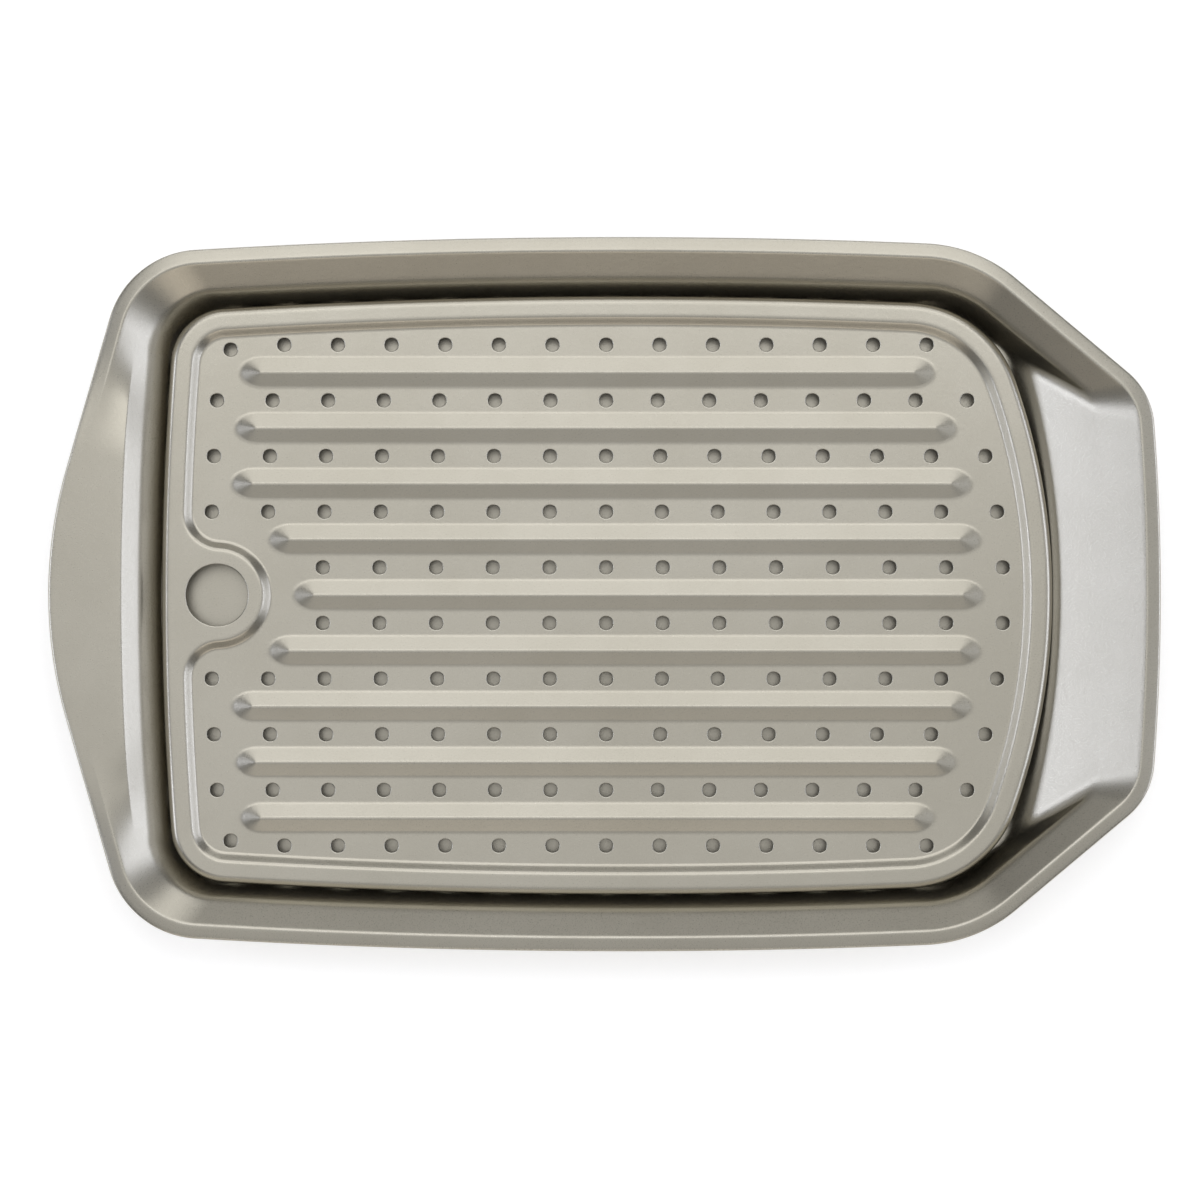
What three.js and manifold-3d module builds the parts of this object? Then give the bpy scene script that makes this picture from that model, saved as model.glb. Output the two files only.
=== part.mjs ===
// Two-piece crisper pan: a pressed pan with a handle flange and a ramp end, and a lift-out perforated tray.
// Millimetres. +X points to the ramp end, +Z up, and the origin is under the middle of the pan.
import * as THREE from "three";
import { mergeVertices } from "three/addons/utils/BufferGeometryUtils.js";
import Module from "manifold-3d";

const wasm = await Module();
wasm.setup();

// Pan: overall sizes
const PAN_LENGTH = 445.6;
const PAN_WIDTH = 286.2;
const PAN_HEIGHT = 27;
const PAN_SHEET = 0.9;

// Pan: rim outline seen from above
const SIDE_BOW_RADIUS = 2900;
const SIDE_BOW_SHIFT = 8;
const END_BOW_RADIUS = 900;
const POUR_WIDTH = 162;
const CUT_CORNER_ANGLE = THREE.MathUtils.degToRad(50);
const END_CORNER_RADIUS = 30;
const SHOULDER_RADIUS = 60;
const HANDLE_CORNER_RADIUS = 38;
const HANDLE_NOSE_RADIUS = 180;
const HANDLE_SLANT_ANGLE = THREE.MathUtils.degToRad(16);

// Pan: lip, walls and floor
const LIP_WIDTH = 5.7;
const LIP_DROOP = 1;
const HEM_ROUND = 0.8;
const HEM_HEIGHT = 2.4;
const FLARE_HEIGHT = 9;
const FLARE_RUN = 10.7;
const WELL_DRAFT_RUN = 6.5;
const CUT_FLARE_RUN = 10.2;
const CUT_DRAFT_RUN = 5.5;
const FLOOR_ROUND = 3;
const HANDLE_REACH = 36.6;
const HANDLE_WALL_RUN = 7.5;
const HANDLE_DRAFT_RUN = 10.3;
const HANDLE_FLAT_WIDTH = 116;
const HANDLE_BLEND = 48;
const HANDLE_CREASE_RISE = 3.3;
const WELL_END_RADIUS = 1200;
const WELL_CORNER_RADIUS = 26;
const RAMP_RUN = 46.5;
const RAMP_FOOT_RADIUS = 800;
const RAMP_CORNER_RADIUS = 15;

// Tray: outline and levels above the pan floor. The gaps lie inside the pan's crease and the ramp's top edge.
const TRAY_SHEET = 0.8;
const TRAY_SIDE_GAP = 5.7;
const TRAY_HANDLE_GAP = 7.2;
const TRAY_RAMP_GAP = 36.1;
const TRAY_CUT_GAP = 11.6;
const TRAY_SIDE_RADIUS = 2635;
const TRAY_HANDLE_END_RADIUS = 1216;
const TRAY_RAMP_END_RADIUS = 259;
const TRAY_HANDLE_CORNER_RADIUS = 23;
const TRAY_RAMP_CORNER_RADIUS = 47;
const TRAY_STAND_GAP = 0.3;
const SKIRT_SIDE_FROM = 0.5;
const SKIRT_SIDE_FULL = 0.95;
const TRAY_HEIGHT = 12;
const TRAY_EDGE_RADIUS = 3.2;
const TRAY_RIM_WIDTH = 8.5;
const STEP_RUN = 3.3;
const STEP_DROP = 2.8;

// Tray: finger hole and the tab round it
const FINGER_HOLE_DIAMETER = 25;
const FINGER_HOLE_INSET = 22.5;
const TAB_LAND = 5.9;
const TAB_FILLET_RADIUS = 15;

// Tray: ribs and drain holes
const RIB_PITCH = 22.5;
const RIB_WIDTH = 12;
const RIB_HEIGHT = 2.2;
const RIB_CREST_WIDTH = 1.4;
const RIB_RAMP_INSET = 27.7;
const RIB_RAMP_RADIUS = 215;
const RIB_HANDLE_INSET = 27;
const RIB_HANDLE_RADIUS = 900;
const RIB_TAB_DISTANCE = 30.5;
const DRAIN_DIAMETER = 5.5;
const DRAIN_CENTRE_X = 0.6;
const DRAIN_RAMP_INSET = 19.7;
const DRAIN_RAMP_RADIUS = 218;
const DRAIN_HANDLE_INSET = 19.7;
const DRAIN_HANDLE_RADIUS = 1200;
const DRAIN_RAMP_CORNER_INSET = 6.2;
const DRAIN_HANDLE_CORNER_INSET = 3.8;
const DRAIN_CORNER_DROP = 2;
const DRAIN_PITCH = 22.2;
const DRAIN_TAB_DISTANCE = 44;
const DRAIN_SIDE_MARGIN = 7;

// How finely the curves are stepped
const PAN_STEPS = { end: 5, endCorner: 5, cut: 3, shoulder: 4, side: 9, handleCorner: 6, slant: 4, nose: 5 };
const TRAY_STEPS = { end: 8, rampCorner: 6, side: 9, handleCorner: 6, handleEnd: 7, tabFillet: 5, tab: 6 };
const FLOOR_ROUND_STEPS = 6;
const DRAIN_SIDES = 8;
const FINGER_HOLE_SIDES = 32;
const RIB_END_STEPS = 4;
const STRAIGHT_RADIUS = 1e5;
const FILLET_SHARE = 0.95;
const CLEARING_STEPS = 8;

const UP = new THREE.Vector3(0, 0, 1);

// Levels of the pan
const panFloor = PAN_SHEET;
const creaseLevel = PAN_HEIGHT - FLARE_HEIGHT;
const floorRound = Math.min(FLOOR_ROUND, FILLET_SHARE * (creaseLevel - panFloor));
const floorRoundTop = panFloor + floorRound;
const roundTopDepth = (creaseLevel - floorRoundTop) / (creaseLevel - panFloor);
const handleCreaseLevel = creaseLevel + HANDLE_CREASE_RISE;

// How far the crease lies inside the rim
const creaseInset = LIP_WIDTH + FLARE_RUN;
const cutCreaseInset = LIP_WIDTH + CUT_FLARE_RUN;

// The level of a straight slope at a distance in from its top.
const slopeLevel = (top, foot, run, distance) => top - ((top - foot) * distance) / run;

// How far an end of a radius falls back from the axis to the tray's corners.
const trayHalfWidth = PAN_WIDTH / 2 - creaseInset - TRAY_SIDE_GAP;
const fallBack = (radius) => radius - Math.sqrt(radius ** 2 - trayHalfWidth ** 2);

// Levels of the tray. Its skirt stands on the ramp and the handle wall, and reaches lower on the sides.
const handleBow = Math.max(fallBack(WELL_END_RADIUS) - fallBack(TRAY_HANDLE_END_RADIUS), 0);
const handleRun = HANDLE_DRAFT_RUN * roundTopDepth;
const sideSeat = Math.max(
  slopeLevel(creaseLevel, panFloor, WELL_DRAFT_RUN, TRAY_SIDE_GAP),
  slopeLevel(creaseLevel, panFloor, CUT_DRAFT_RUN, TRAY_CUT_GAP),
  floorRoundTop,
);
const endSeat = Math.max(
  slopeLevel(PAN_HEIGHT, panFloor, RAMP_RUN, TRAY_RAMP_GAP),
  slopeLevel(handleCreaseLevel, floorRoundTop, handleRun, TRAY_HANDLE_GAP - handleBow),
  sideSeat,
);
const trayRim = panFloor + TRAY_HEIGHT;
const trayField = trayRim - STEP_DROP;

// Outlines: chains of tangent arcs, worked out for +Y and mirrored

const circle = (x, y, radius) => ({ x, y, radius });
const inset = (side, distance) => circle(side.x, side.y, side.radius - distance);
const headingTo = (from, to) => Math.atan2(to.y - from.y, to.x - from.x);

// A straight side as a very large circle through a point, with the outward direction given as an angle.
function straight(x, y, outward) {
  const centreX = x - STRAIGHT_RADIUS * Math.cos(outward);
  const centreY = y - STRAIGHT_RADIUS * Math.sin(outward);
  return circle(centreX, centreY, STRAIGHT_RADIUS);
}

// Where two circles cross, to the left of the way from a's centre to b's. That is the shared corner of
// two sides that follow each other anticlockwise.
function crossing(a, b) {
  const gap = Math.hypot(b.x - a.x, b.y - a.y);
  const along = (gap * gap + a.radius * a.radius - b.radius * b.radius) / (2 * gap);
  const across = Math.sqrt(Math.max(a.radius * a.radius - along * along, 0));
  const unitX = (b.x - a.x) / gap;
  const unitY = (b.y - a.y) / gap;
  return { x: a.x + unitX * along - unitY * across, y: a.y + unitY * along + unitX * across };
}

// Points on one arc, each with its outward direction. A hollow arc is walked clockwise and faces its centre.
function arcPoints(arc, from, to, steps, hollow = false) {
  const points = [];
  const facing = hollow ? -1 : 1;
  for (let i = 0; i < steps; i++) {
    const angle = from + ((to - from) * i) / steps;
    const outX = Math.cos(angle);
    const outY = Math.sin(angle);
    points.push({
      x: arc.x + arc.radius * outX,
      y: arc.y + arc.radius * outY,
      outX: outX * facing,
      outY: outY * facing,
    });
  }
  return points;
}

// The fillet radii of a half outline, each limited by the length of the sides that it joins.
// A radius of null means that the two sides already touch.
function fittedFillets(sides, radii) {
  const corners = radii.map((_, i) => crossing(sides[i], sides[i + 1]));
  const start = { x: sides[0].x + sides[0].radius, y: 0 };
  const reach = radii.map((radius, i) => {
    if (radius === null) return 0;
    const turn = headingTo(sides[i + 1], corners[i]) - headingTo(sides[i], corners[i]);
    return radius * Math.tan(turn / 2);
  });
  const room = corners.map((corner, i) => {
    const last = corners[i - 1] ?? start;
    const length = Math.hypot(corner.x - last.x, corner.y - last.y);
    return Math.min((FILLET_SHARE * length) / (reach[i] + (reach[i - 1] ?? 0)), 1);
  });
  return radii.map((radius, i) => (radius === null ? null : radius * Math.min(room[i], room[i + 1] ?? 1)));
}

// The fillet radius between two sides, raised above the wanted one where the corner would pass a wall.
function clearingRadius(side, next, wanted, wall) {
  const excess = (radius) => {
    const centre = crossing(inset(side, radius), inset(next, radius));
    return Math.hypot(centre.x - wall.x, centre.y - wall.y) + radius - wall.radius;
  };
  let radius = wanted;
  for (let i = 0; i < CLEARING_STEPS && excess(radius) > 0; i++) {
    radius += excess(radius) / (excess(radius) - excess(radius + 1));
  }
  return radius;
}

// The +Y half of an outline: sides joined by fillets, from the +X axis round to the -X axis.
function halfOutline(sides, radii, sideSteps, filletSteps) {
  const fillets = fittedFillets(sides, radii);
  const points = [];
  let from = 0;
  sides.forEach((side, i) => {
    const next = sides[i + 1];
    if (!next) {
      points.push(...arcPoints(side, from, Math.PI, sideSteps[i]));
      return;
    }
    if (fillets[i] === null) {
      const touch = headingTo(side, next);
      points.push(...arcPoints(side, from, touch, sideSteps[i]));
      from = touch;
      return;
    }
    const centre = crossing(inset(side, fillets[i]), inset(next, fillets[i]));
    const leave = headingTo(side, centre);
    const arrive = headingTo(next, centre);
    points.push(...arcPoints(side, from, leave, sideSteps[i]));
    points.push(...arcPoints({ ...centre, radius: fillets[i] }, leave, arrive, filletSteps[i]));
    from = arrive;
  });
  return points;
}

// The whole outline: the +Y half, its last point on the -X axis, and the mirrored half.
function mirrored(half, last) {
  const lower = half.slice(1).reverse();
  return [...half, last, ...lower.map((p) => ({ x: p.x, y: -p.y, outX: p.outX, outY: -p.outY }))];
}

const moved = (outline, distance) =>
  outline.map((p) => ({ ...p, x: p.x - p.outX * distance, y: p.y - p.outY * distance }));

// Pan rim outline

const rimEnd = circle(PAN_LENGTH / 2 - END_BOW_RADIUS, 0, END_BOW_RADIUS);
const rimSide = circle(SIDE_BOW_SHIFT, PAN_WIDTH / 2 - SIDE_BOW_RADIUS, SIDE_BOW_RADIUS);
const pourHalf = POUR_WIDTH / 2;
const pourX = rimEnd.x + Math.sqrt(END_BOW_RADIUS ** 2 - pourHalf ** 2);
const rimCut = straight(pourX, pourHalf, CUT_CORNER_ANGLE);
const rimNose = circle(-PAN_LENGTH / 2 + HANDLE_NOSE_RADIUS, 0, HANDLE_NOSE_RADIUS);
const slantOutward = Math.PI - HANDLE_SLANT_ANGLE;
const rimSlant = straight(
  rimNose.x + HANDLE_NOSE_RADIUS * Math.cos(slantOutward),
  rimNose.y + HANDLE_NOSE_RADIUS * Math.sin(slantOutward),
  slantOutward,
);

const rimHalf = halfOutline(
  [rimEnd, rimCut, rimSide, rimSlant, rimNose],
  [END_CORNER_RADIUS, SHOULDER_RADIUS, HANDLE_CORNER_RADIUS, null],
  [PAN_STEPS.end, PAN_STEPS.cut, PAN_STEPS.side, PAN_STEPS.slant, PAN_STEPS.nose],
  [PAN_STEPS.endCorner, PAN_STEPS.shoulder, PAN_STEPS.handleCorner],
);
const rimOutline = mirrored(rimHalf, { x: -PAN_LENGTH / 2, y: 0, outX: -1, outY: 0 });

// Pan well outlines: the crease and the rounded floor edge

const wellHandleX = -PAN_LENGTH / 2 + HANDLE_REACH;
const mouthEndX = PAN_LENGTH / 2 - LIP_WIDTH;
const mouthEndRadius = END_BOW_RADIUS - LIP_WIDTH;

// The well at a height: the walls lean by their drafts, and the ramp end climbs to the mouth.
// extra pulls the whole outline further in.
function wellOutline(level, extra = 0) {
  const depth = (creaseLevel - level) / (creaseLevel - panFloor);
  const climb = (level - panFloor) / (PAN_HEIGHT - panFloor);
  const sideDraft = WELL_DRAFT_RUN * depth + extra;
  const handleDraft = HANDLE_DRAFT_RUN * depth + extra;
  const endX = mouthEndX - RAMP_RUN * (1 - climb) - extra;
  const endRadius = 1 / THREE.MathUtils.lerp(1 / RAMP_FOOT_RADIUS, 1 / mouthEndRadius, climb);
  const end = circle(endX - endRadius, 0, endRadius);
  const cut = inset(rimCut, cutCreaseInset + CUT_DRAFT_RUN * depth + extra);
  const side = inset(rimSide, creaseInset + sideDraft);
  const handleEnd = circle(wellHandleX + WELL_END_RADIUS, 0, WELL_END_RADIUS - handleDraft);
  const half = halfOutline(
    [end, cut, side, handleEnd],
    [RAMP_CORNER_RADIUS, SHOULDER_RADIUS - creaseInset - sideDraft, WELL_CORNER_RADIUS - sideDraft],
    [PAN_STEPS.end, PAN_STEPS.cut, PAN_STEPS.side, PAN_STEPS.slant + PAN_STEPS.nose],
    [PAN_STEPS.endCorner, PAN_STEPS.shoulder, PAN_STEPS.handleCorner],
  );
  return mirrored(half, { x: wellHandleX + handleDraft, y: 0, outX: -1, outY: 0 });
}

// How level the flange is at a point of the rim: 0 where the wall slopes straight, 1 on the handle.
function flangeShare(p) {
  const flatHalf = HANDLE_FLAT_WIDTH / 2;
  return p.x > 0 ? 0 : 1 - THREE.MathUtils.smoothstep(Math.abs(p.y), flatHalf, flatHalf + HANDLE_BLEND);
}

// Shells: rings of points joined into a sheet of even thickness

const atLevel = (outline, level) =>
  outline.map((p, i) => new THREE.Vector3(p.x, p.y, typeof level === "function" ? level(i) : level));

// The upper face's direction on the band between two rings, at each point. Rings run from the outside in.
function bandNormals(outer, inner) {
  const count = outer.length;
  return outer.map((point, i) => {
    const next = (i + 1) % count;
    const back = (i + count - 1) % count;
    const along = outer[next].clone().sub(outer[back]).add(inner[next]).sub(inner[back]);
    return along.cross(inner[i].clone().sub(point)).normalize();
  });
}

// The rings of the sheet's under face: each point is moved square to both of its bands.
function underRings(rings, sheet, firstNormal, lastNormal) {
  const bands = rings.slice(1).map((ring, j) => bandNormals(rings[j], ring));
  return rings.map((ring, j) =>
    ring.map((point, i) => {
      const below = j > 0 ? bands[j - 1][i] : (firstNormal ?? bands[0][i]);
      const above = j < bands.length ? bands[j][i] : (lastNormal ?? bands[j - 1][i]);
      const offset = below.clone().add(above).multiplyScalar(sheet / (1 + below.dot(above)));
      return point.clone().sub(offset);
    }),
  );
}

// A triangle list that is filled from rings and flat regions, then closed into one geometry.
class Skin {
  constructor() {
    this.values = [];
  }

  triangle(a, b, c) {
    for (const p of [a, b, c]) this.values.push(p.x, p.y, p.z);
  }

  // Joins an outer ring to an inner one of equal count, facing up, or down for an under face.
  band(outer, inner, down = false) {
    outer.forEach((a, i) => {
      const next = (i + 1) % outer.length;
      const [b, c, d] = [outer[next], inner[next], inner[i]];
      if (down) {
        this.triangle(a, c, b);
        this.triangle(a, d, c);
      } else {
        this.triangle(a, b, c);
        this.triangle(a, c, d);
      }
    });
  }

  // Fills a flat region inside one ring, less the holes, facing up or down.
  flat(ring, holes = [], down = false) {
    const all = [...ring, ...holes.flat()];
    const plan = (points) => points.map((p) => new THREE.Vector2(p.x, p.y));
    for (const [a, b, c] of THREE.ShapeUtils.triangulateShape(plan(ring), holes.map(plan))) {
      if (down) this.triangle(all[a], all[c], all[b]);
      else this.triangle(all[a], all[b], all[c]);
    }
  }

  geometry() {
    const made = new THREE.BufferGeometry();
    made.setAttribute("position", new THREE.Float32BufferAttribute(this.values, 3));
    return made;
  }
}

// Pan

function panGeometry() {
  const share = rimOutline.map(flangeShare);
  const mouth = moved(rimOutline, LIP_WIDTH);
  const crease = atLevel(wellOutline(creaseLevel), (i) => creaseLevel + HANDLE_CREASE_RISE * share[i]);
  const lipLevel = (i) => PAN_HEIGHT - LIP_DROOP * (1 - share[i]);

  // The knee splits the flared wall: on the handle the flange stays level out to it.
  const knee = crease.map((p, i) => {
    const across = Math.hypot(mouth[i].x - p.x, mouth[i].y - p.y);
    const part = Math.min(HANDLE_WALL_RUN / across, 1);
    const x = THREE.MathUtils.lerp(p.x, mouth[i].x, part);
    const y = THREE.MathUtils.lerp(p.y, mouth[i].y, part);
    const rise = THREE.MathUtils.lerp(part, 1, share[i]);
    return new THREE.Vector3(x, y, THREE.MathUtils.lerp(p.z, PAN_HEIGHT, rise));
  });

  // The floor edge is a quarter round from the wall to the floor.
  const floorEdge = Array.from({ length: FLOOR_ROUND_STEPS + 1 }, (_, i) => {
    const angle = (Math.PI / 2) * (i / FLOOR_ROUND_STEPS);
    const level = floorRoundTop - floorRound * Math.sin(angle);
    return atLevel(wellOutline(level, floorRound * (1 - Math.cos(angle))), level);
  });

  const rings = [
    atLevel(rimOutline, (i) => lipLevel(i) - HEM_HEIGHT),
    atLevel(rimOutline, (i) => lipLevel(i) - HEM_ROUND),
    atLevel(moved(rimOutline, HEM_ROUND), lipLevel),
    atLevel(mouth, PAN_HEIGHT),
    knee,
    crease,
    ...floorEdge,
  ];
  const under = underRings(rings, PAN_SHEET, null, UP);

  const skin = new Skin();
  skin.band(rings[0], under[0], true);
  rings.slice(1).forEach((ring, j) => skin.band(rings[j], ring));
  under.slice(1).forEach((ring, j) => skin.band(under[j], ring, true));
  skin.flat(rings.at(-1));
  skin.flat(under.at(-1), [], true);
  return skin.geometry();
}

// Solids: only joins and cuts

function solidOf(geometry) {
  const plain = geometry.index ? geometry.toNonIndexed() : geometry;
  plain.deleteAttribute("normal");
  plain.deleteAttribute("uv");
  const merged = mergeVertices(plain, 1e-4);
  return new wasm.Manifold(
    new wasm.Mesh({
      numProp: 3,
      vertProperties: merged.attributes.position.array,
      triVerts: new Uint32Array(merged.index.array),
    }),
  );
}

function geometryOf(solid) {
  const mesh = solid.getMesh();
  const made = new THREE.BufferGeometry();
  made.setAttribute("position", new THREE.Float32BufferAttribute(mesh.vertProperties, mesh.numProp));
  made.setIndex(new THREE.Uint32BufferAttribute(mesh.triVerts, 1));
  return made;
}

// Tray outline, tied to the pan by its gaps

const trayRampX = mouthEndX - TRAY_RAMP_GAP;
const trayHandleX = wellHandleX + TRAY_HANDLE_GAP;
const traySide = circle(SIDE_BOW_SHIFT, trayHalfWidth - TRAY_SIDE_RADIUS, TRAY_SIDE_RADIUS);
const trayRampEnd = circle(trayRampX - TRAY_RAMP_END_RADIUS, 0, TRAY_RAMP_END_RADIUS);
const trayHandleEnd = circle(trayHandleX + TRAY_HANDLE_END_RADIUS, 0, TRAY_HANDLE_END_RADIUS);

const trayCutLimit = inset(rimCut, cutCreaseInset + TRAY_CUT_GAP);
const trayRampCorner = clearingRadius(trayRampEnd, traySide, TRAY_RAMP_CORNER_RADIUS, trayCutLimit);

const trayHalf = halfOutline(
  [trayRampEnd, traySide, trayHandleEnd],
  [trayRampCorner, TRAY_HANDLE_CORNER_RADIUS],
  [TRAY_STEPS.end, TRAY_STEPS.side, TRAY_STEPS.handleEnd],
  [TRAY_STEPS.rampCorner, TRAY_STEPS.handleCorner],
);
const trayOutline = mirrored(trayHalf, { x: trayHandleX, y: 0, outX: -1, outY: 0 });

const fingerX = trayHandleX + FINGER_HOLE_INSET;
const tabRadius = FINGER_HOLE_DIAMETER / 2 + TAB_LAND;

// The top edge of the step: the tray outline moved in by the rim, with the handle end bent round the tab.
function stepOutline() {
  const end = inset(trayRampEnd, TRAY_RIM_WIDTH);
  const side = inset(traySide, TRAY_RIM_WIDTH);
  const handle = inset(trayHandleEnd, TRAY_RIM_WIDTH);
  const sides = [end, side, handle];
  const radii = [trayRampCorner - TRAY_RIM_WIDTH, TRAY_HANDLE_CORNER_RADIUS - TRAY_RIM_WIDTH];
  const handleRadius = fittedFillets(sides, radii)[1];
  const half = halfOutline(
    sides,
    radii,
    [TRAY_STEPS.end, TRAY_STEPS.side, 0],
    [TRAY_STEPS.rampCorner, TRAY_STEPS.handleCorner],
  );
  const handleCorner = crossing(inset(side, handleRadius), inset(handle, handleRadius));
  const tab = circle(fingerX, 0, tabRadius);
  const tabGrown = circle(fingerX, 0, tabRadius + TAB_FILLET_RADIUS);
  const filletCentre = crossing(tabGrown, inset(handle, TAB_FILLET_RADIUS));
  const fillet = { ...filletCentre, radius: TAB_FILLET_RADIUS };
  const leave = headingTo(handle, handleCorner);
  const arrive = headingTo(handle, fillet);
  const turn = headingTo(fillet, tab) + 2 * Math.PI;
  half.push(...arcPoints(handle, leave, arrive, TRAY_STEPS.handleEnd));
  half.push(...arcPoints(fillet, arrive, turn, TRAY_STEPS.tabFillet));
  half.push(...arcPoints(tab, turn - Math.PI, 0, TRAY_STEPS.tab, true));
  return mirrored(half, { x: fingerX + tabRadius, y: 0, outX: -1, outY: 0 });
}

// The level of the skirt's foot at a point of the tray's outline. The side's level begins where the
// outline turns towards Y.
function skirtFoot(p) {
  const onSide = THREE.MathUtils.smoothstep(Math.abs(p.outY), SKIRT_SIDE_FROM, SKIRT_SIDE_FULL);
  return THREE.MathUtils.lerp(endSeat, sideSeat, onSide) + TRAY_STAND_GAP;
}

// Tray sheet before its ribs and holes

function trayShell() {
  const rollLow = TRAY_EDGE_RADIUS * (1 - Math.SQRT1_2);
  const edge = [
    atLevel(trayOutline, (i) => skirtFoot(trayOutline[i])),
    atLevel(trayOutline, trayRim - TRAY_EDGE_RADIUS),
    atLevel(moved(trayOutline, rollLow), trayRim - rollLow),
    atLevel(moved(trayOutline, TRAY_EDGE_RADIUS), trayRim),
  ];
  const stepTop = stepOutline();
  const step = [atLevel(stepTop, trayRim), atLevel(moved(stepTop, STEP_RUN), trayField)];
  const edgeUnder = underRings(edge, TRAY_SHEET, null, UP);
  const stepUnder = underRings(step, TRAY_SHEET, UP, UP);

  const skin = new Skin();
  skin.band(edge[0], edgeUnder[0], true);
  edge.slice(1).forEach((ring, j) => skin.band(edge[j], ring));
  edgeUnder.slice(1).forEach((ring, j) => skin.band(edgeUnder[j], ring, true));
  skin.flat(edge.at(-1), [step[0]]);
  skin.flat(edgeUnder.at(-1), [stepUnder[0]], true);
  skin.band(step[0], step[1]);
  skin.band(stepUnder[0], stepUnder[1], true);
  skin.flat(step[1]);
  skin.flat(stepUnder[1], [], true);
  return solidOf(skin.geometry());
}

// Ribs: roofs with rounded hip ends, as many as the field holds with a row of holes on both sides of each

const fieldHalfWidth = trayHalfWidth - TRAY_RIM_WIDTH - STEP_RUN;
const ribPairs = Math.floor((fieldHalfWidth - DRAIN_SIDE_MARGIN) / RIB_PITCH - 0.5);
const ribCount = 2 * ribPairs + 1;

// A long round-ended ring between two X positions.
function ribRing(fromX, toX, y, halfWidth, level) {
  const ring = [];
  for (const [centreX, start] of [
    [toX - halfWidth, -Math.PI / 2],
    [fromX + halfWidth, Math.PI / 2],
  ]) {
    for (let i = 0; i <= RIB_END_STEPS; i++) {
      const angle = start + (Math.PI * i) / RIB_END_STEPS;
      const x = centreX + halfWidth * Math.cos(angle);
      ring.push(new THREE.Vector3(x, y + halfWidth * Math.sin(angle), level));
    }
  }
  return ring;
}

// The ends of the row of ribs follow an arc at each end, and the middle ribs stop short of the tab.
const rampArcX = (endX, radius, y) => endX - radius + Math.sqrt(radius ** 2 - y ** 2);
const handleArcX = (endX, radius, y) => endX + radius - Math.sqrt(radius ** 2 - y ** 2);
const tabArcX = (distance, y) => fingerX + Math.sqrt(Math.max(distance ** 2 - y ** 2, 0));

function ribSpan(y) {
  const toX = rampArcX(trayRampX - RIB_RAMP_INSET, RIB_RAMP_RADIUS, y);
  const plainX = handleArcX(trayHandleX + RIB_HANDLE_INSET, RIB_HANDLE_RADIUS, y);
  const fromX = Math.abs(y) < RIB_TAB_DISTANCE ? Math.max(plainX, tabArcX(RIB_TAB_DISTANCE, y)) : plainX;
  return { fromX, toX };
}

// A rib solid from a foot level up to its crest, both moved down by drop.
function ribSolid(y, foot, drop) {
  const { fromX, toX } = ribSpan(y);
  const slope = RIB_HEIGHT / ((RIB_WIDTH - RIB_CREST_WIDTH) / 2);
  const spread = (trayField - drop - foot) / slope;
  const crestHalf = RIB_CREST_WIDTH / 2;
  const footHalf = RIB_WIDTH / 2 + spread;
  const retreat = RIB_WIDTH / 2 - crestHalf;
  const lower = ribRing(fromX - spread, toX + spread, y, footHalf, foot);
  const upper = ribRing(fromX + retreat, toX - retreat, y, crestHalf, trayField - drop + RIB_HEIGHT);
  const skin = new Skin();
  skin.flat(lower, [], true);
  skin.band(lower, upper);
  skin.flat(upper);
  return solidOf(skin.geometry());
}

// Drain holes: rows between the ribs, spread evenly from a centre hole to both ends

function drainRow(y, outermost) {
  const rampCut = outermost ? DRAIN_RAMP_CORNER_INSET : 0;
  const handleCut = outermost ? DRAIN_HANDLE_CORNER_INSET : 0;
  const toX = rampArcX(trayRampX - DRAIN_RAMP_INSET, DRAIN_RAMP_RADIUS, y) - rampCut;
  const plainX = handleArcX(trayHandleX + DRAIN_HANDLE_INSET, DRAIN_HANDLE_RADIUS, y) + handleCut;
  const nearTab = Math.abs(y) < RIB_PITCH;
  const fromX = nearTab ? tabArcX(DRAIN_TAB_DISTANCE, y) : plainX;
  const row = [];
  for (const [endX, inward] of [
    [fromX, 1],
    [toX, -1],
  ]) {
    const count = Math.round(Math.abs(endX - DRAIN_CENTRE_X) / DRAIN_PITCH);
    for (let i = 0; i < count; i++) {
      const corner = outermost && inward > 0 && i === 0;
      const drop = corner ? DRAIN_CORNER_DROP * Math.sign(y) : 0;
      row.push({ x: endX + ((DRAIN_CENTRE_X - endX) * i) / count, y: y - drop });
    }
  }
  row.push({ x: DRAIN_CENTRE_X, y });
  return row;
}

// An upright cutter through the tray's sheet.
function cutter(x, y, diameter, sides) {
  const reach = STEP_DROP + RIB_HEIGHT + TRAY_SHEET;
  const made = new THREE.CylinderGeometry(diameter / 2, diameter / 2, 2 * reach, sides);
  made.rotateX(Math.PI / 2);
  made.translate(x, y, trayField);
  return solidOf(made);
}

function trayGeometry() {
  let tray = trayShell();
  const ribRows = Array.from({ length: ribCount }, (_, i) => (i - ribPairs) * RIB_PITCH);
  const holeRows = Array.from({ length: ribCount + 1 }, (_, i) => (i - ribCount / 2) * RIB_PITCH);
  const fieldMiddle = trayField - TRAY_SHEET / 2;
  const fieldUnder = trayField - TRAY_SHEET;
  for (const y of ribRows) tray = tray.add(ribSolid(y, fieldMiddle, 0));
  for (const y of ribRows) tray = tray.subtract(ribSolid(y, fieldUnder - TRAY_SHEET, TRAY_SHEET));
  for (const [i, y] of holeRows.entries()) {
    const outermost = i === 0 || i === ribCount;
    for (const hole of drainRow(y, outermost)) {
      tray = tray.subtract(cutter(hole.x, hole.y, DRAIN_DIAMETER, DRAIN_SIDES));
    }
  }
  tray = tray.subtract(cutter(fingerX, 0, FINGER_HOLE_DIAMETER, FINGER_HOLE_SIDES));
  return geometryOf(tray);
}

// Assembly

function piece(name, geometry, material) {
  geometry.computeVertexNormals();
  const mesh = new THREE.Mesh(geometry, material);
  mesh.name = name;
  return mesh;
}

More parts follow.
